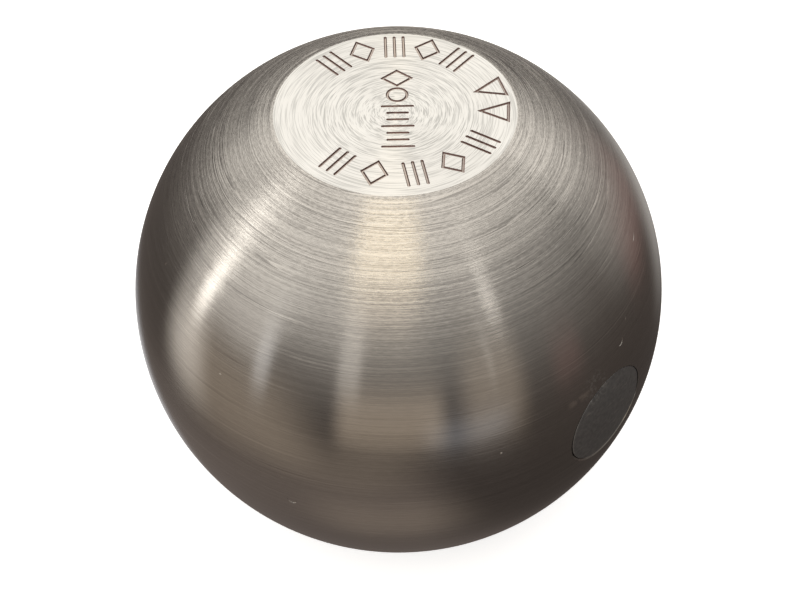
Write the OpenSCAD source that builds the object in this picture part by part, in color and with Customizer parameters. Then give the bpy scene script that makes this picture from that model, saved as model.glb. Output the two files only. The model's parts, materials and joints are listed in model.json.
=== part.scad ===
// Quick-change coupling ball: a ball head that slips over a shank's post and is held there by a
// sprung cross pin. Pressing the pin's end, which lies flush in the ball's side, frees the post.
// Millimetres. +Z is up the ball's axis, +X points out of the side that the lock pin is pressed from,
// and the origin is the centre of the foot face that sits on the shank's collar.

/* [Ball] */
// Diameter of the coupling ball
ball_d = 50; // [49.5:0.5:51]
// Height of the ball's centre above the foot face
centre_h = 19; // [18.5:0.1:19.5]
// Diameter of the flat crown
crown_d = 21; // [18:0.5:24]
// Height of the broken edge round the foot face
foot_edge_h = 0.35; // [0.2:0.05:0.5]

/* [Post socket] */
// Diameter of the shank post that the socket takes
post_d = 19.05; // [18.8:0.05:19.2]
// Running clearance round the post, on the radius
post_clearance = 0.05; // [0.02:0.01:0.09]
// Depth of the reamed socket
socket_depth = 31; // [30:0.5:32]
// Lead-in chamfer at the socket's mouth
mouth_chamfer = 0.9; // [0.5:0.1:1.2]
// Diameter of the drill that roughs the socket out
drill_d = 17.5; // [15:0.5:18]
// Height of the seal groove's lower wall above the foot
seal_groove_z = 2.6; // [2.2:0.1:3]
// Width of the seal groove
seal_groove_w = 2; // [1.8:0.1:2.2]
// Thickness of the socket seal as fitted
seal_wire_d = 1.4; // [1.2:0.1:1.5]
// Extra radius of the relief groove at the lock pin's height
relief_depth = 0.5; // [0.3:0.1:0.6]

/* [Lock pin] */
// Diameter of the lock pin
pin_d = 9; // [8.8:0.1:9.2]
// Sliding clearance round the pin, on the radius
pin_clearance = 0.08; // [0.03:0.01:0.1]
// Sideways distance from the ball's axis to the pin's axis
pin_offset = 8.2; // [8:0.1:8.4]
// Height of the pin's axis above the ball's centre
pin_rise = 1.3; // [0.5:0.1:1.5]
// Travel of the pin from locked to free
pin_stroke = 6.5; // [6:0.1:6.5]
// Clearance between the pin's scallop and the post when the pin is pressed
scallop_clearance = 0.28; // [0.2:0.01:0.35]
// Diameter of the spring pocket in the pin's inner end
pocket_d = 5; // [4.9:0.1:5.2]
// Depth of the spring pocket
pocket_depth = 6.5; // [6.3:0.1:6.8]
// Length of the pin's bore on the far side of the ball's axis
bore_reach = 18; // [17.8:0.1:18.2]
// Thickness of the pin's seal as fitted
pin_seal_wire_d = 1.14; // [1:0.02:1.14]

/* [Spring and seat] */
// Thickness of the spring seat's disc
seat_t = 0.8; // [0.7:0.1:0.9]
// Diameter of the seat's spigot inside the spring
spigot_d = 3; // [2.5:0.1:3.1]
// Outer diameter of the spring
spring_d = 4.6; // [4.4:0.1:4.7]
// Diameter of the spring wire
spring_wire_d = 0.6; // [0.5:0.05:0.7]
// Turns of the spring, with its two closed ends
spring_turns = 9; // [8:1:10]

/* [Guide screw] */
// Thread diameter of the guide screw
screw_d = 4; // [3.8:0.1:4]
// Length of the screw's threaded body
screw_l = 6; // [5:0.5:6.5]
// Distance of the screw from the ball's axis, along the pin
screw_x = 9.6; // [9.4:0.1:9.7]
// Diameter of the screw's dog point
dog_d = 2.5; // [2.2:0.1:2.5]
// Width across the flats of the screw's hexagon socket
key_w = 2; // [1.5:0.1:2.5]
// Depth of the screw's hexagon socket
key_depth = 2.2; // [1.5:0.1:2.5]

/* [Hidden] */
$fn = 96;
ball_r = ball_d / 2;
crown_r = crown_d / 2;
crown_z = centre_h + sqrt(pow(ball_r, 2) - pow(crown_r, 2));
foot_r = sqrt(pow(ball_r, 2) - pow(centre_h, 2));
foot_edge_w = 0.9;
cut_over = 5;
bore_r = post_d / 2 + post_clearance;
drill_r = drill_d / 2;
drill_point = tan(31);
pin_r = pin_d / 2;
pin_bore_r = pin_r + pin_clearance;
pin_z = centre_h + pin_rise;
relief_margin = 1.1;
relief_half = pin_bore_r + relief_margin;
scallop_r = post_d / 2 + scallop_clearance;
flush_gap = 0.03;
end_gap = 0.2;
pin_rear_x = -bore_reach + seat_t + end_gap + pin_stroke;
pocket_end_x = pin_rear_x + pocket_depth;
rear_chamfer = 0.4;
seal_gap = 0.02;
seal_inner_r = bore_r + seal_gap;
seal_groove_r = seal_inner_r + seal_wire_d + seal_gap;
pin_groove_w = 1.6;
pin_groove_x = 18.4;
pin_seal_gap = 0.015;
pin_groove_r = pin_bore_r - pin_seal_wire_d - 2 * pin_seal_gap;
seat_r = pin_bore_r - 0.05;
spigot_l = 2;
spigot_chamfer = 0.3;
slot_play = 0.1;
slot_w = dog_d + slot_play;
slot_depth = 1.6;
slot_floor_y = pin_offset + pin_r - slot_depth;
dog_gap = 0.2;
dog_chamfer = 0.15;
dog_tip_y = slot_floor_y + dog_gap;
screw_standoff = 0.5;
screw_low_y = pin_offset + pin_r + screw_standoff;
screw_clearance = 0.02;
thread_pitch = 0.7;
thread_depth = 0.35;
spring_gap = 0.02;
spring_mean_r = (spring_d - spring_wire_d) / 2;
spring_low_x = -bore_reach + seat_t + spring_gap + spring_wire_d / 2;
spring_high_x = pocket_end_x - spring_gap - spring_wire_d / 2;

// Turns a child that stands on Z so that it lies along the lock pin's axis
module on_pin_axis(x = 0) {
    translate([x, pin_offset, pin_z]) rotate([0, 90, 0]) children();
}

// Turns a child that stands on Z so that it lies along the guide screw's axis, pointing out of the ball
module on_screw_axis(y = 0) {
    translate([screw_x, y, pin_z]) rotate([-90, 0, 0]) children();
}

// A full ball with its flat crown and its flat foot with a broken edge
module ball_blank() {
    edge_r = sqrt(pow(ball_r, 2) - pow(centre_h - foot_edge_h, 2));
    intersection() {
        translate([0, 0, centre_h]) sphere(r = ball_r);
        rotate_extrude() polygon([
            [0, 0], [foot_r - foot_edge_w, 0], [edge_r, foot_edge_h],
            [ball_r + cut_over, foot_edge_h], [ball_r + cut_over, crown_z], [0, crown_z]
        ]);
    }
}

// The hole for the shank's post: chamfered mouth, seal groove, reamed bore, relief groove and drill point
module post_socket() {
    rotate_extrude() polygon([
        [0, -1], [bore_r + mouth_chamfer + 1, -1], [bore_r, mouth_chamfer],
        [bore_r, seal_groove_z], [seal_groove_r, seal_groove_z],
        [seal_groove_r, seal_groove_z + seal_groove_w], [bore_r, seal_groove_z + seal_groove_w],
        [bore_r, pin_z - relief_half], [bore_r + relief_depth, pin_z - relief_half],
        [bore_r + relief_depth, pin_z + relief_half], [bore_r, pin_z + relief_half],
        [bore_r, socket_depth], [drill_r, socket_depth], [0, socket_depth + drill_r * drill_point]
    ]);
}

// The blind bore that the lock pin slides in, with its drill point on the far side
module pin_bore() {
    point_l = pin_bore_r * drill_point;
    open_l = bore_reach + ball_r + cut_over;
    on_pin_axis(-bore_reach) rotate_extrude() polygon([
        [0, -point_l], [pin_bore_r, 0], [pin_bore_r, open_l], [0, open_l]
    ]);
}

// The tapped hole of the guide screw, from the ball's side into the pin's bore
module guide_screw_bore() {
    on_screw_axis(pin_offset + 1) cylinder(h = ball_r, r = screw_d / 2 + screw_clearance);
}

module ball_body() {
    color("slategray") difference() {
        ball_blank();
        post_socket();
        pin_bore();
        guide_screw_bore();
    }
}

// The slot in the lock pin's side that the guide screw's dog point runs in
module guide_slot() {
    on_screw_axis(slot_floor_y) cylinder(h = cut_over, r = slot_w / 2);
    translate([pin_stroke, 0, 0]) on_screw_axis(slot_floor_y) cylinder(h = cut_over, r = slot_w / 2);
    translate([screw_x, slot_floor_y, pin_z - slot_w / 2]) cube([pin_stroke, cut_over, slot_w]);
}

// The groove that carries the pin's seal, just behind the end that is pressed
module pin_seal_groove() {
    on_pin_axis(pin_groove_x) rotate_extrude() polygon([
        [pin_groove_r, 0], [pin_r + 1, 0], [pin_r + 1, pin_groove_w], [pin_groove_r, pin_groove_w]
    ]);
}

// Its outer end is turned to the ball's own radius, and its scallop clears the post when it is pressed
module lock_pin() {
    full_l = ball_r - pin_rear_x;
    color("dimgray") intersection() {
        difference() {
            on_pin_axis(pin_rear_x) rotate_extrude() polygon([
                [pocket_d / 2, 0], [pin_r - rear_chamfer, 0], [pin_r, rear_chamfer], [pin_r, full_l],
                [0, full_l], [0, pocket_depth], [pocket_d / 2, pocket_depth]
            ]);
            translate([pin_stroke, 0, 0]) cylinder(h = ball_d, r = scallop_r);
            guide_slot();
            pin_seal_groove();
        }
        translate([0, 0, centre_h]) sphere(r = ball_r - flush_gap);
    }
}

// Share of the spring's height reached after a share t of its turns: the end turns lie closed
function coil_rise(t) =
    let (closed = 1 / spring_turns, lift = spring_wire_d / (spring_high_x - spring_low_x))
    t < closed ? lift * t / closed
    : t > 1 - closed ? 1 - lift * (1 - t) / closed
    : lift + (1 - 2 * lift) * (t - closed) / (1 - 2 * closed);

// Ring i of the wire: points round the wire at one station along the coil
function wire_ring(i, steps, sides) =
    let (t = i / steps, turn = 360 * spring_turns * t)
    [for (k = [0 : sides - 1])
        let (a = 360 * k / sides, r = spring_mean_r + spring_wire_d / 2 * cos(a))
        [spring_low_x + (spring_high_x - spring_low_x) * coil_rise(t) + spring_wire_d / 2 * sin(a),
            pin_offset + r * cos(turn), pin_z + r * sin(turn)]];

// Compression spring between the seat and the bottom of the pin's pocket
module lock_spring() {
    sides = 8;
    steps = 20 * spring_turns;
    rings = [for (i = [0 : steps]) each wire_ring(i, steps, sides)];
    walls = [for (i = [0 : steps - 1], k = [0 : sides - 1])
        let (n = (k + 1) % sides)
        [i * sides + k, i * sides + n, (i + 1) * sides + n, (i + 1) * sides + k]];
    start_cap = [[for (k = [sides - 1 : -1 : 0]) k]];
    end_cap = [[for (k = [0 : sides - 1]) steps * sides + k]];
    color("silver") polyhedron(points = rings, faces = concat(walls, start_cap, end_cap));
}

// Disc that gives the spring a flat floor across the drill point, with a spigot inside the spring
module spring_seat() {
    tip = seat_t + spigot_l;
    color("silver") on_pin_axis(-bore_reach) rotate_extrude() polygon([
        [0, 0], [seat_r, 0], [seat_r, seat_t], [spigot_d / 2, seat_t],
        [spigot_d / 2, tip - spigot_chamfer], [spigot_d / 2 - spigot_chamfer, tip], [0, tip]
    ]);
}

// Socket set screw with a dog point: it keeps the pin from turning and from leaving the ball
module guide_screw() {
    dog_l = screw_low_y - dog_tip_y;
    turns = floor(screw_l / thread_pitch) - 1;
    root_r = screw_d / 2 - thread_depth;
    thread_low = dog_l + thread_pitch / 2;
    top = dog_l + screw_l;
    crests = [for (i = [0 : turns - 1], half = [0, 1])
        [half == 1 ? screw_d / 2 : root_r, thread_low + (i + half / 2) * thread_pitch]];
    color("dimgray") difference() {
        on_screw_axis(dog_tip_y) rotate_extrude() polygon(concat(
            [[0, 0], [dog_d / 2 - dog_chamfer, 0], [dog_d / 2, dog_chamfer],
                [dog_d / 2, dog_l], [root_r, dog_l]],
            crests,
            [[root_r, thread_low + turns * thread_pitch], [root_r, top], [0, top]]
        ));
        on_screw_axis(screw_low_y + screw_l - key_depth)
            cylinder(h = key_depth + 1, r = key_w / 2 / cos(30), $fn = 6);
    }
}

// A ring of round rubber section, centred on its own mid-plane
module o_ring(mean_r, wire_r) {
    rotate_extrude() translate([mean_r, 0]) circle(r = wire_r, $fn = 48);
}

// Keeps dirt out of the socket and the post from rattling
module socket_seal() {
    wire_r = seal_wire_d / 2;
    color([0.1, 0.1, 0.1]) translate([0, 0, seal_groove_z + seal_groove_w / 2])
        o_ring(seal_inner_r + wire_r, wire_r);
}

// Keeps dirt out of the lock pin's bore
module pin_seal() {
    wire_r = pin_seal_wire_d / 2;
    color([0.1, 0.1, 0.1]) on_pin_axis(pin_groove_x + pin_groove_w / 2)
        o_ring(pin_groove_r + pin_seal_gap + wire_r, wire_r);
}

ball_body();
lock_pin();
lock_spring();
spring_seat();
guide_screw();
socket_seal();
pin_seal();
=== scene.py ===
"""Looks of a quick-change coupling ball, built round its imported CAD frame. Lengths are in metres."""

import json
import math

import bmesh
import bpy
import numpy as np
from mathutils import Matrix, Vector


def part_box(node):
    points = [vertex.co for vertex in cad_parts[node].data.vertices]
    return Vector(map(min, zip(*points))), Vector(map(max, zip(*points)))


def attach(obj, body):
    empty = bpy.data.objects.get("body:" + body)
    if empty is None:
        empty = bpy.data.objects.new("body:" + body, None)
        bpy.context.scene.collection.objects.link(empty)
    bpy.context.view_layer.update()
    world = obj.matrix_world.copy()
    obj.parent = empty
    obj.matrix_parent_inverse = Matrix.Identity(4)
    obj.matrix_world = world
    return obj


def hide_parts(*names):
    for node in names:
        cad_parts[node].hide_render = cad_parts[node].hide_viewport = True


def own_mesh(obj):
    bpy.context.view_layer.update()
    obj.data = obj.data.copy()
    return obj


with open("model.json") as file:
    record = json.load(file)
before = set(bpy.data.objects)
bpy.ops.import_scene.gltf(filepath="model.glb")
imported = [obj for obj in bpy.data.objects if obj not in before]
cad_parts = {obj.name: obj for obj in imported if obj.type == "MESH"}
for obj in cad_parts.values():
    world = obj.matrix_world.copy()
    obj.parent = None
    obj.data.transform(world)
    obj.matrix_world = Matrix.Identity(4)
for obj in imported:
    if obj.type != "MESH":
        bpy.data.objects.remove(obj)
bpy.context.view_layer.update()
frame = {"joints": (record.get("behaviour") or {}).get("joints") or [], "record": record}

MM = 0.001
TAU = 2 * math.pi

# ---------------------------------------------------------------- places that the frame gives
mounts = {m["name"]: m for m in frame["record"]["mounts"]}
joint = frame["joints"][0]
ball_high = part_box("ball_body")[1]
BALL_R = mounts["coupler_ball"]["dims"]["r_mm"] * MM
CENTRE = Vector(mounts["coupler_ball"]["pos_m"])
CROWN_Z = ball_high.z
CROWN_R = math.sqrt(BALL_R**2 - (CROWN_Z - CENTRE.z) ** 2)
BORE_R = mounts["post_socket"]["dims"]["r_mm"] * MM
upper_band = mounts["post_socket_inner_band"]
SOCKET_TOP = upper_band["pos_m"][2] + upper_band["dims"]["length_mm"] * MM / 2
pin_low, pin_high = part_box("lock_pin")
PIN_R = (pin_high.z - pin_low.z) / 2
PIN_Y = (pin_high.y + pin_low.y) / 2
PIN_Z = (pin_high.z + pin_low.z) / 2
STROKE = joint["range_m"][1]
seat_low, seat_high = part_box("spring_seat")
spring_low, spring_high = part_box("lock_spring")
screw_low, screw_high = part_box("guide_screw")
seal_low, seal_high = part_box("socket_seal")
pin_seal_low, pin_seal_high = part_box("pin_seal")

# ---------------------------------------------------------------- sizes that only the looks need
PIN_BORE_R = PIN_R + 0.08 * MM
SLOT_DEPTH = 1.6 * MM
SLOT_HALF = 1.3 * MM
SCREW_STANDOFF = 0.5 * MM
DRILL_R = 8.75 * MM
MOUTH_CHAMFER = 0.9 * MM
FOOT_EDGE = 0.35 * MM
FOOT_EDGE_WIDTH = 0.9 * MM
CROWN_EDGE = 0.07 * MM
RELIEF_R = BORE_R + 0.5 * MM
RELIEF_HALF = PIN_BORE_R + 1.1 * MM
DRILL_POINT = math.tan(math.radians(31))
SCREW_HOLE_R = 2.02 * MM
PIN_SEAL_WIRE_D = 1.14 * MM
POCKET_R = 2.5 * MM
POCKET_DEPTH = 6.5 * MM
MARK_TOP = 0.175 * MM
MARK_FLOOR = 0.06 * MM
MARK_DEPTH = 0.13 * MM
MARK_IN = 6.9 * MM
MARK_OUT = 9.6 * MM
MARK_SHIFT = (0.2 * MM, 0.35 * MM)
SCUFF_SPOT = CENTRE + Vector((23.3, 6.5, 6.2)) * MM
SMUDGE_SPOT = CENTRE + Vector((24.0, 4.6, 6.25)) * MM


# ---------------------------------------------------------------- mesh helpers
def new_object(name, verts, faces):
    mesh = bpy.data.meshes.new(name)
    mesh.from_pydata([tuple(v) for v in verts], [], faces)
    mesh.validate()
    obj = bpy.data.objects.new(name, mesh)
    bpy.context.scene.collection.objects.link(obj)
    return obj


def skin_rings(rings, closed=False):
    """Faces between rings of equally many points. A ring of one point is a pole."""
    starts = np.cumsum([0] + [len(r) for r in rings])
    faces = []
    pairs = list(zip(range(len(rings) - 1), range(1, len(rings))))
    if closed:
        pairs.append((len(rings) - 1, 0))
    for i, j in pairs:
        a, b, n = starts[i], starts[j], max(len(rings[i]), len(rings[j]))
        for k in range(n):
            m = (k + 1) % n
            if len(rings[i]) == 1:
                faces.append((a, b + m, b + k))
            elif len(rings[j]) == 1:
                faces.append((a + k, a + m, b))
            else:
                faces.append((a + k, a + m, b + m, b + k))
    return faces


def ring_object(name, rings, closed=False):
    obj = new_object(name, [p for r in rings for p in r], skin_rings(rings, closed))
    bm = bmesh.new()
    bm.from_mesh(obj.data)
    bmesh.ops.recalc_face_normals(bm, faces=bm.faces)
    bm.to_mesh(obj.data)
    bm.free()
    return obj


def lathe(name, profile, segments, place=Matrix.Identity(4), closed=False):
    """Turns (radius, height) points round Z, then places the result. A radius of 0 is a pole."""
    angles = np.arange(segments) * TAU / segments
    rings = []
    for radius, height in profile:
        if radius == 0:
            rings.append([place @ Vector((0, 0, height))])
            continue
        ring = [Vector((radius * math.cos(a), radius * math.sin(a), height)) for a in angles]
        rings.append([place @ p for p in ring])
    return ring_object(name, rings, closed)


def along_x(x=0.0):
    """Z onto the lock pin's axis."""
    return Matrix.Translation((x, PIN_Y, PIN_Z)) @ Matrix.Rotation(math.pi / 2, 4, "Y")


def along_y(y=0.0):
    """Z onto the guide screw's axis, pointing out of the ball."""
    middle = (screw_low + screw_high) / 2
    return Matrix.Translation((middle.x, y, middle.z)) @ Matrix.Rotation(-math.pi / 2, 4, "X")


def cut(obj, *cutters):
    """Takes the cutters away from obj and deletes them."""
    for cutter in cutters:
        mod = obj.modifiers.new("cut", "BOOLEAN")
        mod.operation = "DIFFERENCE"
        mod.solver = "MANIFOLD"
        mod.object = cutter
        graph = bpy.context.evaluated_depsgraph_get()
        mesh = bpy.data.meshes.new_from_object(obj.evaluated_get(graph))
        obj.modifiers.clear()
        old = obj.data
        obj.data = mesh
        bpy.data.meshes.remove(old)
        bpy.data.objects.remove(cutter)
    return obj


def smooth(obj, sharp_angle=25):
    obj.data.shade_smooth()
    obj.data.set_sharp_from_angle(angle=math.radians(sharp_angle))


def join(name, parts):
    bm = bmesh.new()
    for part in parts:
        bm.from_mesh(part.data)
        bpy.data.objects.remove(part)
    mesh = bpy.data.meshes.new(name)
    bm.to_mesh(mesh)
    bm.free()
    obj = bpy.data.objects.new(name, mesh)
    bpy.context.scene.collection.objects.link(obj)
    return obj


# ---------------------------------------------------------------- camera
CAM_AZIMUTH = math.radians(61.7)
CAM_ELEVATION = math.radians(47.62)
CAM_DISTANCE = 0.150
CAM_LENS = 70.1
CAM_ROLL = math.radians(-1.05)
# The direction that points right in the picture, as an angle from +X
VIEW_RIGHT = CAM_AZIMUTH


def build_camera():
    data = bpy.data.cameras.new("camera")
    data.lens = CAM_LENS
    data.sensor_width = 36
    data.clip_start = 0.01
    cam = bpy.data.objects.new("camera", data)
    bpy.context.scene.collection.objects.link(cam)
    back = Vector((
        math.sin(CAM_AZIMUTH) * math.cos(CAM_ELEVATION),
        -math.cos(CAM_AZIMUTH) * math.cos(CAM_ELEVATION),
        math.sin(CAM_ELEVATION),
    ))
    right = Vector((math.cos(CAM_AZIMUTH), math.sin(CAM_AZIMUTH), 0))
    up = back.cross(right)
    cam.location = CENTRE + back * CAM_DISTANCE
    target = CENTRE + right * 0.12 * MM - up * 0.95 * MM
    look = (target - cam.location).to_track_quat("-Z", "Y").to_matrix().to_4x4()
    cam.matrix_world = Matrix.Translation(cam.location) @ look @ Matrix.Rotation(CAM_ROLL, 4, "Z")
    bpy.context.scene.camera = cam


# ---------------------------------------------------------------- the ball
def surface_height(place, radius, angle, sphere_r):
    """How far along place's Z the sphere lies, at that radius and angle round it."""
    start = place @ Vector((radius * math.cos(angle), radius * math.sin(angle), 0)) - CENTRE
    along = (place.to_3x3() @ Vector((0, 0, 1))).normalized()
    b = start.dot(along)
    return -b + math.sqrt(b * b - start.length_squared + sphere_r**2)


def placed_ring(place, count, offset_of):
    """Points round place's Z. offset_of gives the radius and height at each angle."""
    points = []
    for a in np.arange(count) * TAU / count:
        r, h = offset_of(a)
        points.append(place @ Vector((r * math.cos(a), r * math.sin(a), h)))
    return points


def hole_cutter(place, radius, depth, edge_break, segments):
    """A drill with its point at depth, and a flare that breaks the hole's edge in the ball's curved side."""
    def flare(a, share):
        broken = edge_break(a)
        low = surface_height(place, radius, a, BALL_R) - broken
        high = surface_height(place, radius + broken, a, BALL_R)
        return radius + share * broken, low + share * (high - low)

    far = BALL_R + 3 * MM
    past = 1.3
    rings = [
        [place @ Vector((0, 0, depth - radius * DRILL_POINT))],
        placed_ring(place, segments, lambda a: (radius, depth)),
        placed_ring(place, segments, lambda a: flare(a, 0)),
        placed_ring(place, segments, lambda a: flare(a, past)),
        placed_ring(place, segments, lambda a: (flare(a, past)[0], far)),
        [place @ Vector((0, 0, far))],
    ]
    return ring_object("hole_cutter", rings)


def worn_break(mean, swing, lean, seed):
    """A hand-broken edge: its width swings round the hole and has a little roughness."""
    phases = np.random.default_rng(seed).uniform(0, TAU, 6)

    def width(a):
        rough = sum(math.sin((5 + 4 * i) * a + p) for i, p in enumerate(phases)) / len(phases)
        return max(mean * (1 + swing * math.cos(a - lean) + 0.35 * rough), 0.005 * MM)

    return width


def turned_height(arc):
    """Feed marks left by turning: a few microns deep near the crown, fading down the ball."""
    fade = math.exp(-arc / (6 * MM))
    micron = 0.001 * MM
    height = 0.0
    for pitch, size, phase in ((0.53, 1.9, 0.3), (0.71, 1.4, 2.1), (1.13, 1.2, 4.0), (1.9, 1.6, 1.0)):
        height += size * math.sin(TAU * arc / (pitch * MM) + phase)
    return fade * micron * height


def outside_profile():
    """From the middle of the crown down the ball's side to the foot."""
    top = math.acos((CROWN_Z - CROWN_EDGE - CENTRE.z) / BALL_R)
    bottom = math.acos((FOOT_EDGE - CENTRE.z) / BALL_R)
    fine = 9 * MM / BALL_R
    angles = list(np.arange(top, top + fine, 0.11 * MM / BALL_R))
    angles += list(np.linspace(top + fine, bottom, 80))
    points = [(0, CROWN_Z), (CROWN_R - CROWN_EDGE, CROWN_Z)]
    points.append((CROWN_R - 0.3 * CROWN_EDGE, CROWN_Z - 0.3 * CROWN_EDGE))
    for a in angles:
        r = BALL_R + turned_height((a - top) * BALL_R)
        points.append((r * math.sin(a), CENTRE.z + r * math.cos(a)))
    return points


def inside_profile():
    """Across the foot, over the mouth's chamfer, and up the socket past its two grooves to its point."""
    foot_r = math.sqrt(BALL_R**2 - CENTRE.z**2)
    groove_low, groove_high = seal_low.z - 0.3 * MM, seal_high.z + 0.3 * MM
    groove_r = seal_high.x + 0.02 * MM
    return [
        (foot_r - FOOT_EDGE_WIDTH, 0),
        (BORE_R + MOUTH_CHAMFER, 0),
        (BORE_R, MOUTH_CHAMFER),
        (BORE_R, groove_low),
        (groove_r, groove_low),
        (groove_r, groove_high),
        (BORE_R, groove_high),
        (BORE_R, PIN_Z - RELIEF_HALF),
        (RELIEF_R, PIN_Z - RELIEF_HALF),
        (RELIEF_R, PIN_Z + RELIEF_HALF),
        (BORE_R, PIN_Z + RELIEF_HALF),
        (BORE_R, SOCKET_TOP),
        (DRILL_R, SOCKET_TOP),
        (0, SOCKET_TOP + DRILL_R * DRILL_POINT),
    ]


# ---------------------------------------------------------------- marks engraved in the crown
def crown_point(angle, radius, across=0.0):
    """A point on the crown: out from the marks' centre at that angle in the picture, then across."""
    turn = VIEW_RIGHT + angle
    out = Vector((math.cos(turn), math.sin(turn)))
    right, away = math.cos(VIEW_RIGHT), math.sin(VIEW_RIGHT)
    centre = MARK_SHIFT[0] * Vector((right, away)) + MARK_SHIFT[1] * Vector((-away, right))
    return centre + out * radius + Vector((out.y, -out.x)) * across


def groove_section():
    """Half widths and heights of a groove's cutter, from above the face down to its narrow floor."""
    return (MARK_TOP, MARK_DEPTH / 2), (MARK_FLOOR, -MARK_DEPTH)


def stroke(a, b):
    """A straight groove with round ends, as the solid that cuts it."""
    along = math.atan2(b.y - a.y, b.x - a.x)
    rings = []
    for half, height in groove_section():
        ring = []
        for end, first in ((b, -math.pi / 2), (a, math.pi / 2)):
            for i in range(7):
                turn = along + first + math.pi * i / 6
                ring.append((end.x + half * math.cos(turn), end.y + half * math.sin(turn), CROWN_Z + height))
        rings.append(ring)
    caps = [[tuple(np.mean(ring, axis=0))] for ring in rings]
    return ring_object("stroke", [caps[0], *rings, caps[1]])


def loop_groove(corners):
    """A closed groove with mitred corners, as the solid that cuts it."""
    (wide, high), (narrow, low) = groove_section()
    section = ((-wide, high), (wide, high), (narrow, low), (-narrow, low))
    rings = []
    for i, p in enumerate(corners):
        before = (p - corners[i - 1]).normalized()
        after = (corners[(i + 1) % len(corners)] - p).normalized()
        side = Vector((before.y + after.y, -before.x - after.x)).normalized()
        mitre = side / max(side.dot(Vector((before.y, -before.x))), 0.3)
        rings.append([(p.x + mitre.x * s, p.y + mitre.y * s, CROWN_Z + h) for s, h in section])
    return ring_object("loop", rings, closed=True)


def ticks_mark(angle):
    spread = 0.8 * MM
    return [
        stroke(crown_point(angle, MARK_IN, dx), crown_point(angle, MARK_OUT, dx))
        for dx in (-spread, 0, spread)
    ]


def diamond_mark(angle):
    middle, half = (MARK_IN + MARK_OUT) / 2, 1.05 * MM
    return [loop_groove([
        crown_point(angle, MARK_IN),
        crown_point(angle, middle, half),
        crown_point(angle, MARK_OUT),
        crown_point(angle, middle, -half),
    ])]


def triangle_mark(angle):
    half = 1.15 * MM
    return [loop_groove([
        crown_point(angle, MARK_IN + 0.2 * MM),
        crown_point(angle, MARK_OUT - 0.1 * MM, half),
        crown_point(angle, MARK_OUT - 0.1 * MM, -half),
    ])]


def circle_mark(centre, radius):
    return [loop_groove([
        centre + radius * Vector((math.cos(t), math.sin(t))) for t in np.arange(28) * TAU / 28
    ])]


def ring_marks():
    """Plain index marks round the crown in groups of five, two and five, open on the picture's left."""
    groups = (
        (132, 20.5, (ticks_mark, diamond_mark, ticks_mark, diamond_mark, ticks_mark)),
        (16, 20.5, (triangle_mark, triangle_mark)),
        (-33, 23.7, (ticks_mark, diamond_mark, ticks_mark, diamond_mark, ticks_mark)),
    )
    parts = []
    for first, step, marks in groups:
        for i, mark in enumerate(marks):
            parts += mark(math.radians(first - i * step))
    return parts


def scale_marks():
    """A column in the middle of the crown: a diamond, a ring and a row of graduation bars."""
    up = math.pi / 2
    tall, wide = 1.0 * MM, 1.25 * MM
    top = 3.95 * MM
    parts = [loop_groove([
        crown_point(up, top - tall),
        crown_point(up, top, wide),
        crown_point(up, top + tall),
        crown_point(up, top, -wide),
    ])]
    parts += circle_mark(crown_point(up, 1.75 * MM), 0.85 * MM)
    for i in range(7):
        half = (1.3 if i % 3 == 0 else 0.85) * MM
        height = (0.25 - 0.85 * i) * MM
        parts.append(stroke(crown_point(up, height, -half), crown_point(up, height, half)))
    return parts


# ---------------------------------------------------------------- small nicks in the ball's side
def ball_point(azimuth, elevation, radius=None):
    """A point seen from the ball's centre at an azimuth to the right of the camera's, and an elevation."""
    turn = CAM_AZIMUTH - math.pi / 2 + math.radians(azimuth)
    e = math.radians(elevation)
    out = Vector((math.cos(turn) * math.cos(e), math.sin(turn) * math.cos(e), math.sin(e)))
    return CENTRE + out * (radius or BALL_R)


def nick_cutter(path, width, depth):
    """A shallow scratch along points on the ball, pointed at both ends, as the solid that cuts it."""
    rings = []
    for i, p in enumerate(path):
        out = (p - CENTRE).normalized()
        along = (path[min(i + 1, len(path) - 1)] - path[max(i - 1, 0)]).normalized()
        side = out.cross(along)
        share = math.sin(math.pi * (i + 0.5) / len(path))
        w = width * share
        d = depth * share
        rings.append([p + side * w + out * depth, p - side * w + out * depth, p - out * d])
    tips = [path[0] - (path[1] - path[0]) * 0.5, path[-1] + (path[-1] - path[-2]) * 0.5]
    lift = 0.6 * depth
    tips = [t + (t - CENTRE).normalized() * lift for t in tips]
    return ring_object("nick", [[tips[0]], *rings, [tips[1]]])


def nicks():
    """Each has its middle's azimuth and elevation, a length, a heading from level and a bend, all in degrees,
    and a width in millimetres."""
    marks = (
        (-22.8, -5.0, 3.6, 0, 60, 0.15),
        (-68.8, 30.0, 1.2, 78, 8, 0.08),
        (54.0, 18.3, 2.6, 25, 35, 0.08),
        (57.6, 22.0, 1.0, 80, 0, 0.06),
        (61.5, 18.2, 1.3, -60, 10, 0.06),
        (-24.4, 3.0, 0.6, 60, 0, 0.08),
        (20.0, 10.8, 0.5, 30, 0, 0.08),
        (-40.8, 21.6, 0.6, -30, 0, 0.08),
        (74.0, 30.5, 2.4, 12, 10, 0.06),
    )
    depth_share = 0.45
    steps = 9
    parts = []
    for azimuth, elevation, length, heading, bend, width in marks:
        path = []
        for i in range(steps):
            t = i / (steps - 1) - 0.5
            turn = math.radians(heading + bend * 2 * t)
            path.append(ball_point(
                azimuth + length * t * math.cos(turn) / math.cos(math.radians(elevation)),
                elevation + length * t * math.sin(turn),
            ))
        parts.append(nick_cutter(path, width * MM, depth_share * width * MM))
    return parts


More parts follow.
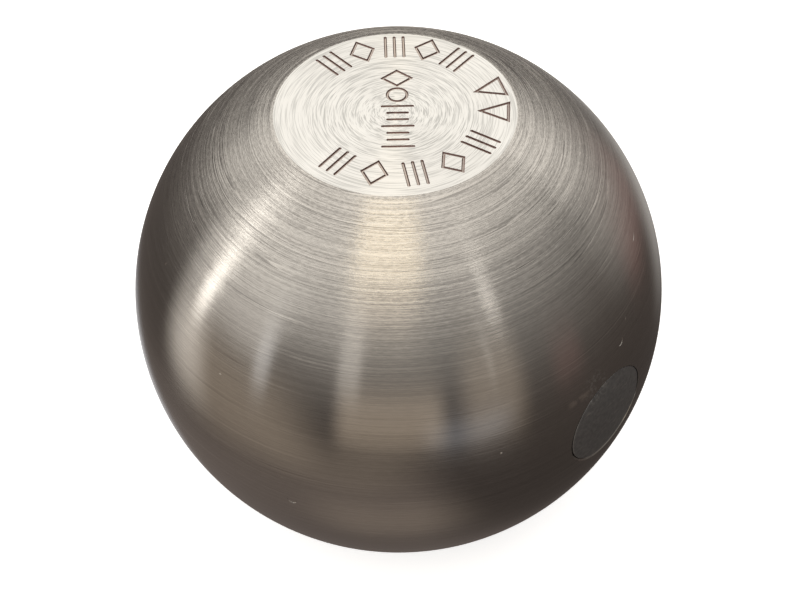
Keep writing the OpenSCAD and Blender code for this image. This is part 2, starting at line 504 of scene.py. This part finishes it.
def true_normals(obj):
    """Gives the ball's side its exact normals and the crown its flat one, so cuts don't dent the shine."""
    mesh = obj.data
    normals = [Vector(n.vector) for n in mesh.corner_normals]
    for face in mesh.polygons:
        for corner in face.loop_indices:
            p = mesh.vertices[mesh.loops[corner].vertex_index].co - CENTRE
            radial = p.normalized()
            on_side = abs(p.length - BALL_R) < 0.0002 * MM and face.normal.dot(radial) > 0.999
            if on_side and p.z < CROWN_Z - CENTRE.z - 4 * MM:
                normals[corner] = radial
            elif face.normal.z > 0.9999:
                normals[corner] = face.normal.copy()
    mesh.normals_split_custom_set(normals)


def build_ball():
    ball = lathe("turned_ball", outside_profile() + inside_profile(), 384)
    pin_edge = worn_break(0.075 * MM, 0.9, -0.9, 3)
    screw_edge = worn_break(0.25 * MM, 0, 0, 4)
    pin_hole = hole_cutter(along_x(), PIN_BORE_R, seat_low.x, pin_edge, 160)
    screw_hole = hole_cutter(along_y(), SCREW_HOLE_R, PIN_Y + 1 * MM, screw_edge, 96)
    cut(ball, pin_hole, screw_hole, join("marks", ring_marks() + scale_marks()), join("nicks", nicks()))
    smooth(ball)
    true_normals(ball)
    return ball


# ---------------------------------------------------------------- the lock pin
def pin_profile():
    """Radius and place along the pin's axis, from the bottom of its pocket, round its rear, to its groove."""
    rear, rear_edge, pocket_edge = pin_low.x, 0.4 * MM, 0.25 * MM
    groove_r = (pin_seal_high.z - pin_seal_low.z) / 2 - PIN_SEAL_WIRE_D
    groove_low, groove_high = pin_seal_low.x - 0.23 * MM, pin_seal_high.x + 0.23 * MM
    return [
        (POCKET_R, rear + POCKET_DEPTH),
        (POCKET_R, rear + pocket_edge),
        (POCKET_R + pocket_edge, rear),
        (PIN_R - rear_edge, rear),
        (PIN_R, rear + rear_edge),
        (PIN_R, groove_low),
        (groove_r, groove_low),
        (groove_r, groove_high),
        (PIN_R, groove_high),
    ]


def build_pin():
    """Pocketed at the back, grooved for its seal, and turned to the ball's own radius at the front."""
    place = along_x()
    count = 160
    front_r = BALL_R - 0.04 * MM
    edge = worn_break(0.04 * MM, 1.2, -0.3, 8)

    def on_side(a):
        return PIN_R, surface_height(place, PIN_R, a, front_r) - edge(a)

    rings = [[place @ Vector((0, 0, pin_low.x + POCKET_DEPTH))]]
    rings += [placed_ring(place, count, lambda a, r=r, h=h: (r, h)) for r, h in pin_profile()]
    rings.append(placed_ring(place, count, on_side))
    for share in np.linspace(1, 0.1, 12):
        def on_front(a, share=share):
            r = (PIN_R - edge(a)) * share
            return r, surface_height(place, r, a, front_r)
        rings.append(placed_ring(place, count, on_front))
    rings.append([place @ Vector((0, 0, surface_height(place, 0, 0, front_r)))])
    pin = ring_object("latch_pin", rings)
    scallop_r = BORE_R + 0.23 * MM
    section = [(0, 0), (scallop_r, 0), (scallop_r, 2 * BALL_R), (0, 2 * BALL_R)]
    scallop = lathe("scallop", section, 192, Matrix.Translation((STROKE, 0, 0)))
    cut(pin, scallop, guide_slot())
    smooth(pin)
    return pin


def guide_slot():
    """The solid that cuts the slot which the guide screw's point runs in."""
    middle = (screw_low + screw_high) / 2
    floor_y, top_y = PIN_Y + PIN_R - SLOT_DEPTH, PIN_Y + PIN_R + 2 * MM
    rings = []
    for y in (floor_y, top_y):
        ring = []
        for end, first in ((middle.x + STROKE, -math.pi / 2), (middle.x, math.pi / 2)):
            for i in range(17):
                turn = first + math.pi * i / 16
                across, up = SLOT_HALF * math.cos(turn), SLOT_HALF * math.sin(turn)
                ring.append(Vector((end + across, y, PIN_Z + up)))
        rings.append(ring)
    caps = [[sum(ring, Vector()) / len(ring)] for ring in rings]
    return ring_object("slot", [caps[0], *rings, caps[1]])


# ---------------------------------------------------------------- seals, spring, seat and guide screw
def build_o_ring(name, place, mean_r, wire_r):
    """A moulded ring: round section, with a fine flash line round its inside and outside."""
    ridge, ridge_width = 0.03 * MM, 0.12
    section = []
    for a in np.arange(32) * TAU / 32:
        flash = ridge * math.exp(-((math.sin(a) / ridge_width) ** 2))
        section.append((mean_r + (wire_r + flash - ridge / 2) * math.cos(a), wire_r * math.sin(a)))
    ring = lathe(name, section, 160, place, closed=True)
    smooth(ring, 40)
    return ring


def build_spring():
    """A wound compression spring with one closed turn at each end."""
    wire_r = 0.3 * MM
    turns, sides, per_turn = 9, 14, 40
    mean_r = (spring_high.z - spring_low.z) / 2 - wire_r
    low, high = spring_low.x + wire_r, spring_high.x - wire_r
    closed = 1 / turns
    lift = 2 * wire_r / (high - low)

    def rise(t):
        if t < closed:
            return lift * t / closed
        if t > 1 - closed:
            return 1 - lift * (1 - t) / closed
        return lift + (1 - 2 * lift) * (t - closed) / (1 - 2 * closed)

    steps = turns * per_turn
    rings = []
    for i in range(steps + 1):
        t = i / steps
        turn = TAU * turns * t
        out = Vector((0, math.cos(turn), math.sin(turn)))
        middle = Vector((low + (high - low) * rise(t), PIN_Y, PIN_Z)) + out * mean_r
        rings.append([
            middle + wire_r * (math.cos(a) * out + math.sin(a) * Vector((1, 0, 0)))
            for a in np.arange(sides) * TAU / sides
        ])
    caps = [[sum(rings[0], Vector()) / sides], [sum(rings[-1], Vector()) / sides]]
    spring = ring_object("wound_spring", [caps[0], *rings, caps[1]])
    smooth(spring, 50)
    return spring


def build_seat():
    disc_r = (seat_high.z - seat_low.z) / 2
    disc_t, spigot_r = 0.8 * MM, 1.5 * MM
    edge = 0.12 * MM
    low, high = seat_low.x, seat_high.x
    seat = lathe("spring_cup", [
        (0, low), (disc_r - edge, low), (disc_r, low + edge), (disc_r, low + disc_t - edge),
        (disc_r - edge, low + disc_t), (spigot_r + edge, low + disc_t), (spigot_r, low + disc_t + edge),
        (spigot_r, high - 0.3 * MM), (spigot_r - 0.3 * MM, high), (0, high),
    ], 96, along_x())
    smooth(seat)
    return seat


def build_screw():
    """A set screw with a true helical thread, a dog point and a hexagon socket."""
    pitch, depth, major_r, dog_r = 0.7 * MM, 0.35 * MM, 2.0 * MM, 1.25 * MM
    body_low = PIN_Y + PIN_R + SCREW_STANDOFF
    sides = 72
    place = along_y()

    def thread_r(height, a):
        """The thread fades out over half a turn at each end."""
        phase = (height / pitch - a / TAU) % 1
        crest = min(1, max(0, 1.35 - 2.7 * abs(phase - 0.5)))
        fade = min(1, (height - body_low) / pitch, (screw_high.y - height) / pitch)
        return major_r - depth + depth * crest * max(0, fade)

    rings = [[place @ Vector((0, 0, screw_low.y))]]
    for r, h in ((dog_r - 0.15 * MM, screw_low.y), (dog_r, screw_low.y + 0.15 * MM), (dog_r, body_low)):
        rings.append(placed_ring(place, sides, lambda a, r=r, h=h: (r, h)))
    for h in np.linspace(body_low, screw_high.y, 101):
        rings.append(placed_ring(place, sides, lambda a, h=h: (thread_r(h, a), h)))
    rings.append([place @ Vector((0, 0, screw_high.y))])
    screw = ring_object("guide_set_screw", rings)
    key_r, key_depth = 1.0 * MM / math.cos(math.pi / 6), 2.2 * MM
    top = screw_high.y
    key = lathe("key", [
        (0, top - key_depth - 0.4 * MM), (key_r, top - key_depth), (key_r, top - 0.15 * MM),
        (key_r + 0.3 * MM, top + 0.15 * MM), (0, top + 0.15 * MM),
    ], 6, place)
    cut(screw, key)
    smooth(screw, 35)
    return screw


# ---------------------------------------------------------------- materials
class Nodes:
    """Short ways to add nodes to one shader tree. Any input may be a value or another node's output."""

    def __init__(self, tree):
        self.tree = tree

    def add(self, kind, inputs=(), **settings):
        node = self.tree.nodes.new(kind)
        for key, value in settings.items():
            setattr(node, key, value)
        for key, value in dict(inputs).items():
            self.feed(node.inputs[key], value)
        return node

    def feed(self, socket, value):
        if isinstance(value, bpy.types.NodeSocket):
            self.tree.links.new(value, socket)
        elif value is not None:
            socket.default_value = value

    def math(self, operation, a, b=None, c=None):
        return self.add("ShaderNodeMath", {0: a, 1: b, 2: c}, operation=operation).outputs[0]

    def ramp(self, value, low, high, out_low=0.0, out_high=1.0, smooth=True):
        kind = "SMOOTHSTEP" if smooth else "LINEAR"
        inputs = {"Value": value, "From Min": low, "From Max": high, "To Min": out_low, "To Max": out_high}
        return self.add("ShaderNodeMapRange", inputs, interpolation_type=kind).outputs["Result"]

    def mix(self, share, a, b):
        """Mixes two numbers."""
        return self.add("ShaderNodeMix", {"Factor": share, "A": a, "B": b}, data_type="FLOAT").outputs[0]

    def tint(self, share, a, b, blend="MIX"):
        """Mixes two colours."""
        node = self.add("ShaderNodeMix", data_type="RGBA", blend_type=blend)
        for name, value in (("Factor_Float", share), ("A_Color", a), ("B_Color", b)):
            socket = next(s for s in node.inputs if s.identifier == name)
            self.feed(socket, (*value, 1) if isinstance(value, tuple) and len(value) == 3 else value)
        return next(s for s in node.outputs if s.identifier == "Result_Color")

    def split(self, vector):
        return self.add("ShaderNodeSeparateXYZ", {0: vector}).outputs

    def point(self, x, y, z):
        return self.add("ShaderNodeCombineXYZ", {0: x, 1: y, 2: z}).outputs[0]

    def noise(self, vector, scale, detail=2.0, roughness=0.5):
        inputs = {"Vector": vector, "Scale": scale, "Detail": detail, "Roughness": roughness}
        return self.add("ShaderNodeTexNoise", inputs).outputs["Fac"]

    def bump(self, height, distance, strength=1.0, normal=None):
        inputs = {"Height": height, "Distance": distance, "Strength": strength, "Normal": normal}
        return self.add("ShaderNodeBump", inputs).outputs["Normal"]


class Finish(Nodes):
    """The nodes of one material, whose constants are set on its shader's own sockets."""

    def __init__(self, name, **constants):
        self.material = bpy.data.materials.new(name)
        self.material.use_nodes = True
        super().__init__(self.material.node_tree)
        self.shader = self.tree.nodes["Principled BSDF"]
        for key, value in constants.items():
            self.shader.inputs[key.replace("_", " ")].default_value = value
        self.place = self.add("ShaderNodeTexCoord").outputs["Object"]

    def finish(self, colour, roughness, normal=None):
        self.feed(self.shader.inputs["Base Color"], colour)
        self.feed(self.shader.inputs["Roughness"], roughness)
        self.feed(self.shader.inputs["Normal"], normal)
        return self.material


def scuffs(n):
    """A patch of small scuffs across the lock pin's upper edge."""
    away = n.add("ShaderNodeVectorMath", {0: n.place, 1: SCUFF_SPOT}, operation="DISTANCE").outputs["Value"]
    specks = n.ramp(n.noise(n.place, 2600.0, 3.0, 0.6), 0.50, 0.64)
    return n.math("MULTIPLY", specks, n.ramp(away, 2.1 * MM, 0.9 * MM, 0.0, 0.5))


def smudge(n, y, z):
    """A short, pale brown smear above the lock pin."""
    off_y = n.math("ABSOLUTE", n.math("SUBTRACT", y, SMUDGE_SPOT.y))
    off_z = n.math("ABSOLUTE", n.math("SUBTRACT", z, SMUDGE_SPOT.z))
    inside = n.math("MULTIPLY", n.ramp(off_y, 1.7 * MM, 0.7 * MM), n.ramp(off_z, 0.5 * MM, 0.1 * MM))
    inside = n.math("MULTIPLY", inside, n.math("GREATER_THAN", n.split(n.place)["X"], 0.0))
    return n.math("MULTIPLY", inside, n.ramp(n.noise(n.place, 1500.0, 2.0, 0.5), 0.3, 0.55, 0.05, 0.6))


def polar(n, off_x=0.0, off_y=0.0):
    """Distance from an upright axis, and the direction out from it."""
    x, y, _ = n.split(n.place)
    dx, dy = n.math("SUBTRACT", x, off_x), n.math("SUBTRACT", y, off_y)
    radius = n.math("SQRT", n.math("ADD", n.math("MULTIPLY", dx, dx), n.math("MULTIPLY", dy, dy)))
    across = n.math("MAXIMUM", radius, 0.01 * MM)
    return radius, (n.math("DIVIDE", dx, across), n.math("DIVIDE", dy, across))


def lines(n, around, level, round_scale, level_scale, shift, detail=1.0):
    """Noise drawn out round an axis."""
    right, away = (n.math("MULTIPLY", part, round_scale) for part in around)
    where = n.point(right, away, n.math("MULTIPLY_ADD", level, level_scale, shift))
    return n.noise(where, 1.0, detail, 0.6)


def scored_with_painted_light(n, around, level, round_scale, level_scale, width, shift):
    """Sparse lines round the axis that come and go, with painted shade on one side and painted highlight on
    the other.
    """
    off = n.math("SUBTRACT", lines(n, around, level, round_scale, level_scale, shift), 0.5)
    off = n.math("DIVIDE", off, width)
    near = n.math("MAXIMUM", n.math("SUBTRACT", 1.0, n.math("ABSOLUTE", off)), 0.0)
    shown = n.ramp(lines(n, around, level, 1.3, 0.9, shift + 30), 0.40, 0.58)
    return n.math("MULTIPLY", n.math("MULTIPLY", n.math("MULTIPLY", off, near), 4.0), shown)


def turned_side(n, around, arc_mm, near_crown):
    """The side's colour, roughness and lines, with painted light and shade across the bold lines. The turning
    lines are strong near the crown and fade below.
    """
    _, y, z = n.split(n.place)
    rings = n.ramp(lines(n, around, arc_mm, 0.4, 6.5, 0.0), 0.36, 0.64)
    fine_rings = n.ramp(lines(n, around, arc_mm, 0.7, 14.0, 20.0), 0.36, 0.64)
    dashes = n.ramp(lines(n, around, arc_mm, 30.0, 11.0, 40.0, 2.0), 0.28, 0.72)
    bands = lines(n, around, arc_mm, 0.25, 1.3, 80.0)
    # Painted light and shade: each bold line is coloured darker on one side and brighter on the other.
    bold_painted_light = scored_with_painted_light(n, around, arc_mm, 0.45, 2.0, 0.032, 120.0)
    shade = n.math("ADD", n.math("MULTIPLY", rings, 0.13), n.math("MULTIPLY", fine_rings, 0.25))
    shade = n.math("ADD", n.math("MULTIPLY_ADD", dashes, 0.26, shade), 0.18)
    contrast = n.math("MULTIPLY_ADD", bold_painted_light, 0.42, n.math("SUBTRACT", shade, 0.5))
    contrast = n.math("MULTIPLY", contrast, near_crown)
    spread = n.ramp(contrast, -0.22, 0.22, smooth=False)
    # The colour carries the turning lines, and the painted light and shade of the bold lines.
    colour = n.tint(spread, (0.35, 0.33, 0.305), (0.79, 0.75, 0.69))
    colour = n.tint(n.math("MULTIPLY", bands, 0.2), colour, (0.38, 0.35, 0.32))
    colour = n.tint(scuffs(n), colour, (0.95, 0.97, 0.93))
    colour = n.tint(smudge(n, y, z), colour, (1.0, 0.93, 0.82))
    smoothing = n.ramp(arc_mm, 8.0, 24.0, 0.15, 0.25)
    return colour, n.math("ADD", smoothing, n.math("MULTIPLY", contrast, 0.25)), shade


def faced_crown(n, radius, around):
    """The crown's colour and lines: short arcs round two centres, fainter towards the rim."""
    off_radius, off_around = polar(n, 0.7 * MM, -0.4 * MM)
    out_mm, off_mm = n.math("DIVIDE", radius, MM), n.math("DIVIDE", off_radius, MM)
    broad = lines(n, around, out_mm, 2.0, 7.5, 160.0)
    crossing = lines(n, off_around, off_mm, 2.6, 11.0, 200.0)
    fine = lines(n, around, out_mm, 3.2, 15.0, 240.0)
    fine_share = 0.9
    swirl = n.math("MULTIPLY_ADD", fine, fine_share, n.math("ADD", broad, crossing))
    swirl = n.math("DIVIDE", swirl, 2.0 + fine_share)
    dim = n.math("MULTIPLY", n.ramp(swirl, 0.54, 0.40), n.ramp(out_mm, 6.0, 9.0, 1.0, 0.75))
    return n.tint(dim, (0.98, 0.96, 0.91), (0.64, 0.63, 0.595)), swirl


def turned_steel():
    """Warm grey steel: turning lines round the ball's side, the bold ones with painted light and shade, a
    swirl on the crown, and dark marks.
    """
    n = Finish("turned_steel", Metallic=1.0, Anisotropic=0.92, Anisotropic_Rotation=0.25)
    _, _, z = n.split(n.place)
    radius, around = polar(n)
    slope = n.math("ARCTAN2", n.math("SUBTRACT", z, CENTRE.z), radius)
    arc_mm = n.math("MULTIPLY", slope, BALL_R / MM)
    near_crown = n.ramp(arc_mm, 11.0, 28.0, 0.18, 1.0)
    side, side_rough, shade = turned_side(n, around, arc_mm, near_crown)
    face, swirl = faced_crown(n, radius, around)

    inside_rim = n.math("LESS_THAN", radius, CROWN_R - 0.05 * MM)
    crown = n.math("MULTIPLY", inside_rim, n.math("GREATER_THAN", z, CROWN_Z - 0.5 * MM))
    engraved = n.math("MULTIPLY", crown, n.math("LESS_THAN", z, CROWN_Z - 0.01 * MM))
    groove_floor = n.math("LESS_THAN", z, CROWN_Z - MARK_DEPTH + 0.005 * MM)
    groove = n.tint(groove_floor, (0.32, 0.21, 0.19), (0.74, 0.66, 0.60))
    colour = n.tint(engraved, n.tint(crown, side, face), groove)
    rough = n.mix(engraved, n.mix(crown, side_rough, 0.40), 0.6)
    lined = n.math("MULTIPLY", n.mix(crown, near_crown, 0.3), 0.9)
    normal = n.bump(n.mix(crown, shade, swirl), 0.02 * MM, lined)
    tangent = n.add("ShaderNodeTangent", direction_type="RADIAL", axis="Z")
    n.feed(n.shader.inputs["Tangent"], tangent.outputs[0])
    return n.finish(colour, rough, normal)


def ground_steel():
    """Dull grey steel, mottled and scuffed brighter in short scratches."""
    n = Finish("ground_steel", Metallic=1.0)
    fine = n.noise(n.place, 9000.0, 3.0, 0.6)
    cloud = n.noise(n.place, 420.0, 4.0, 0.6)
    mottle = n.noise(n.place, 2600.0, 3.0, 0.6)
    scales = (900.0, 700.0, 5200.0)
    drawn = n.point(*(n.math("MULTIPLY", part, scale) for part, scale in zip(n.split(n.place), scales)))
    scuff = n.noise(drawn, 1.0, 3.0, 0.55)
    scuffed = n.math("MULTIPLY", n.ramp(scuff, 0.56, 0.70), n.ramp(cloud, 0.40, 0.60))
    colour = n.tint(n.ramp(mottle, 0.32, 0.68), (0.36, 0.365, 0.365), (0.46, 0.465, 0.46))
    colour = n.tint(n.math("MULTIPLY", scuffed, 0.7), colour, (0.80, 0.77, 0.72))
    colour = n.tint(n.ramp(cloud, 0.35, 0.65, 0.0, 0.3), colour, (0.24, 0.245, 0.245))
    colour = n.tint(scuffs(n), colour, (0.80, 0.82, 0.79))
    rough = n.math("ADD", 0.38, n.math("MULTIPLY", cloud, 0.2))
    return n.finish(colour, rough, n.bump(fine, 0.004 * MM, 0.5))


def drawn_wire():
    """Bright spring wire with faint die lines."""
    n = Finish("drawn_wire", Metallic=1.0)
    grain = n.noise(n.place, 5200.0, 3.0, 0.6)
    cloud = n.noise(n.place, 600.0, 2.0, 0.5)
    colour = n.tint(cloud, (0.42, 0.41, 0.39), (0.62, 0.61, 0.59))
    return n.finish(colour, n.ramp(grain, 0.2, 0.8, 0.24, 0.4), n.bump(grain, 0.003 * MM, 0.5))


def machined_steel():
    """The spring's seat: turned rings round the pin's axis."""
    n = Finish("machined_steel", Metallic=1.0)
    x, y, z = n.split(n.place)
    dy, dz = n.math("SUBTRACT", y, PIN_Y), n.math("SUBTRACT", z, PIN_Z)
    radius = n.math("SQRT", n.math("ADD", n.math("MULTIPLY", dy, dy), n.math("MULTIPLY", dz, dz)))
    where = n.point(n.math("MULTIPLY", radius, 6000.0), n.math("MULTIPLY", x, 6000.0), 0.0)
    rings = n.noise(where, 1.0, 3.0, 0.6)
    colour = n.tint(rings, (0.44, 0.43, 0.40), (0.62, 0.61, 0.58))
    return n.finish(colour, n.ramp(rings, 0.2, 0.8, 0.28, 0.45), n.bump(rings, 0.006 * MM, 0.6))


def seal_rubber():
    """Black rubber with a faint bloom and a fine moulded grain."""
    n = Finish("seal_rubber", Metallic=0.0)
    grain = n.noise(n.place, 7000.0, 3.0, 0.6)
    bloom = n.noise(n.place, 500.0, 3.0, 0.6)
    colour = n.tint(n.ramp(bloom, 0.4, 0.75), (0.016, 0.016, 0.017), (0.045, 0.044, 0.043))
    return n.finish(colour, n.ramp(bloom, 0.3, 0.7, 0.48, 0.66), n.bump(grain, 0.006 * MM, 0.5))


def floor_white():
    """Plain white above. From below it is clear, so that the foot and the socket can be seen."""
    n = Finish("floor_white", Metallic=0.0)
    n.feed(n.shader.inputs["Emission Color"], (1.0, 1.0, 1.0, 1.0))
    n.shader.inputs["Emission Strength"].default_value = 0.7
    mottle = n.noise(n.place, 30.0, 2.0, 0.5)
    n.finish(n.tint(mottle, (0.84, 0.84, 0.84), (0.88, 0.88, 0.88)), 0.8)
    below = n.add("ShaderNodeNewGeometry").outputs["Backfacing"]
    clear = n.add("ShaderNodeBsdfTransparent").outputs[0]
    seen = n.add("ShaderNodeMixShader", {0: below, 1: n.shader.outputs[0], 2: clear})
    n.feed(n.tree.nodes["Material Output"].inputs["Surface"], seen.outputs[0])
    return n.material


def dress(obj, body, slot, material, *replaced):
    obj.data.materials.clear()
    obj.data.materials.append(material)
    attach(obj, body)
    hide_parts(*replaced)
    return obj


# ---------------------------------------------------------------- floor and light
def build_floor():
    half, z = 3.0, -0.02 * MM
    corners = [(-half, -half, z), (half, -half, z), (half, half, z), (-half, half, z)]
    floor = new_object("floor", corners, [(0, 1, 2, 3)])
    floor.data.materials.append(floor_white())
    floor.visible_glossy = False
    floor.visible_shadow = False


def panel(name, place, size, radiance, colour, soft=0.5, far=0.6):
    """A panel of light that faces the ball. Its place is an azimuth from the camera's side and an elevation,
    and its size is a width and a height, all in degrees. The soft share of it fades towards its edges."""
    data = bpy.data.lights.new(name, "AREA")
    data.shape = "RECTANGLE"
    data.size, data.size_y = (2 * far * math.tan(math.radians(side / 2)) for side in size)
    data.energy = radiance * math.pi * data.size * data.size_y
    data.color = colour
    data.use_nodes = True
    n = Nodes(data.node_tree)
    spot = n.split(n.add("ShaderNodeNewGeometry").outputs["Parametric"])
    strength = 1.0
    for share in (spot["X"], spot["Y"]):
        off_middle = n.math("ABSOLUTE", n.math("SUBTRACT", share, 0.5))
        strength = n.math("MULTIPLY", strength, n.ramp(off_middle, 0.5, 0.5 - soft / 2))
    n.feed(data.node_tree.nodes["Emission"].inputs["Strength"], strength)
    lamp = bpy.data.objects.new(name, data)
    bpy.context.scene.collection.objects.link(lamp)
    lamp.location = ball_point(*place, far)
    lamp.rotation_mode = "QUATERNION"
    lamp.rotation_quaternion = (CENTRE - lamp.location).to_track_quat("-Z", "Y")
    lamp.visible_camera = False


def build_lights():
    """Broad panels stand back. The slim ones that draw streaks on the steel stand in front of them."""
    amber, tan = (1.0, 0.84, 0.55), (1.0, 0.84, 0.67)
    cream, cool, blue, red = (1.0, 0.98, 0.945), (0.90, 0.94, 1.0), (0.78, 0.86, 1.0), (1.0, 0.45, 0.42)
    panel("crown_light", (180, 42), (120, 44), 0.57, cream, 0.3)
    panel("left_wide", (-78, 25), (60, 54), 0.51, cream, 0.4)
    panel("left_mid", (-38, 36), (30, 32), 0.25, cream, 0.5)
    panel("left_low", (-66, -20), (78, 56), 0.24, tan, 0.8)
    panel("front_wide", (-22, -34), (64, 36), 0.10, tan, 0.8)
    panel("left_streak_top", (-99, 42), (10, 30), 1.6, cream, 0.6, 0.5)
    panel("left_streak", (-87, 13), (9, 42), 2.1, cream, 0.7, 0.5)
    panel("left_streak_foot", (-90, -14), (30, 54), 0.55, cream, 0.9, 0.5)
    panel("window_top", (-9, 67), (27, 27), 1.05, amber, 0.2, 0.5)
    panel("window_low", (-9, 44), (32, 26), 0.28, tan, 0.6, 0.5)
    panel("front_left", (-20, 21), (12, 46), 0.40, cream, 0.6, 0.5)
    panel("front_low", (-4, -8), (46, 30), 0.32, tan, 0.4, 0.5)
    panel("left_dim", (-54, 4), (10, 36), 0.45, cool, 0.8, 0.5)
    panel("right_glint", (45, 36), (6, 13), 1.8, cream, 0.4, 0.5)
    panel("right_line", (35.5, 22), (2.5, 50), 0.35, cream, 0.8, 0.5)
    panel("right_dim", (35, -1), (33, 60), 0.20, tan, 0.7, 0.5)
    panel("right_low", (25, -16), (42, 16), 0.24, blue, 0.7, 0.5)
    panel("right_rear", (122, 8), (70, 56), 0.20, cream, 0.8, 0.5)
    panel("right_rear_top", (114, 44), (56, 28), 0.26, cream, 0.8, 0.5)
    panel("red_wall", (125, -12), (48, 24), 0.13, red, 0.7, 0.5)
    panel("red_door", (66, -6), (20, 26), 0.07, red, 0.8, 0.5)
    panel("table", (-8, -66), (50, 36), 0.10, tan, 0.8, 0.5)
    panel("rear_left", (-158, -49), (38, 24), 0.9, cool, 0.9, 0.5)
    panel("rear_right", (156, -31), (56, 32), 0.44, cream, 0.9, 0.5)
    panel("rear_right_foot", (171, -45), (26, 28), 0.55, cream, 0.9, 0.5)
    panel("rear_low", (180, 6), (110, 26), 0.13, cream, 0.8, 0.5)


def build_world():
    """Dim surroundings for the steel to mirror: brown below, grey overhead, mostly darker on the right."""
    world = bpy.data.worlds.new("surroundings")
    bpy.context.scene.world = world
    world.use_nodes = True
    n = Nodes(world.node_tree)
    place = n.add("ShaderNodeTexCoord").outputs["Generated"]
    height = n.ramp(n.split(place)["Z"], -1.0, 1.0, smooth=False)
    right = (math.cos(VIEW_RIGHT), math.sin(VIEW_RIGHT), 0)
    rightward = n.add("ShaderNodeVectorMath", {0: place, 1: right}, operation="DOT_PRODUCT").outputs["Value"]
    brown, grey = Vector((1.0, 0.84, 0.77)), Vector((1.0, 0.97, 0.93))

    def sky(levels):
        """A ramp from straight down to straight up through (height, brightness) pairs."""
        ramp = n.add("ShaderNodeValToRGB", {"Fac": height})
        stops = ramp.color_ramp.elements
        while len(stops) < len(levels):
            stops.new(0.5)
        for stop, (z, level) in zip(stops, levels):
            stop.position = (z + 1) / 2
            stop.color = (*(level * brown.lerp(grey, min(1, max(0, (z + 0.4) / 0.8)))), 1)
        return ramp.outputs["Color"]

    left_sky = sky(((-1, 0.14), (-0.82, 0.18), (-0.57, 0.10), (-0.3, 0.085), (0, 0.15), (0.16, 0.24),
                    (0.45, 0.40), (0.6, 0.54), (0.74, 0.71), (0.85, 0.98), (1, 1.12)))
    right_sky = sky(((-1, 0.07), (-0.82, 0.06), (-0.4, 0.08), (-0.2, 0.10), (0, 0.16), (0.33, 0.26),
                     (0.6, 0.44), (0.74, 0.66), (0.85, 1.03), (1, 1.15)))
    n.feed(world.node_tree.nodes["Background"].inputs["Color"],
           n.tint(n.ramp(rightward, 0.03, 0.36), left_sky, right_sky))


# ---------------------------------------------------------------- everything, in place
build_camera()
steel, plain = turned_steel(), ground_steel()
rubber = seal_rubber()
dress(build_ball(), "ball", "ball_steel", steel, "ball_body")
dress(build_pin(), "lock_pin", "pin_steel", plain, "lock_pin")
dress(build_screw(), "ball", "screw_steel", plain, "guide_screw")
dress(build_seat(), "ball", "seat_steel", machined_steel(), "spring_seat")
seal_wire_r = (seal_high.z - seal_low.z) / 2
seal_place = Matrix.Translation((0, 0, (seal_low.z + seal_high.z) / 2))
socket_ring = build_o_ring("socket_o_ring", seal_place, seal_high.x - seal_wire_r, seal_wire_r)
dress(socket_ring, "ball", "seal_rubber", rubber, "socket_seal")
pin_wire_r = (pin_seal_high.x - pin_seal_low.x) / 2
pin_mean_r = (pin_seal_high.z - pin_seal_low.z) / 2 - pin_wire_r
pin_seal_place = along_x((pin_seal_low.x + pin_seal_high.x) / 2)
pin_ring = build_o_ring("pin_o_ring", pin_seal_place, pin_mean_r, pin_wire_r)
dress(pin_ring, "lock_pin", "seal_rubber", rubber, "pin_seal")
spring = dress(build_spring(), "ball", "spring_steel", drawn_wire(), "lock_spring")
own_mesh(spring)
build_floor()
build_lights()
build_world()
bpy.context.scene.view_settings.view_transform = "Standard"
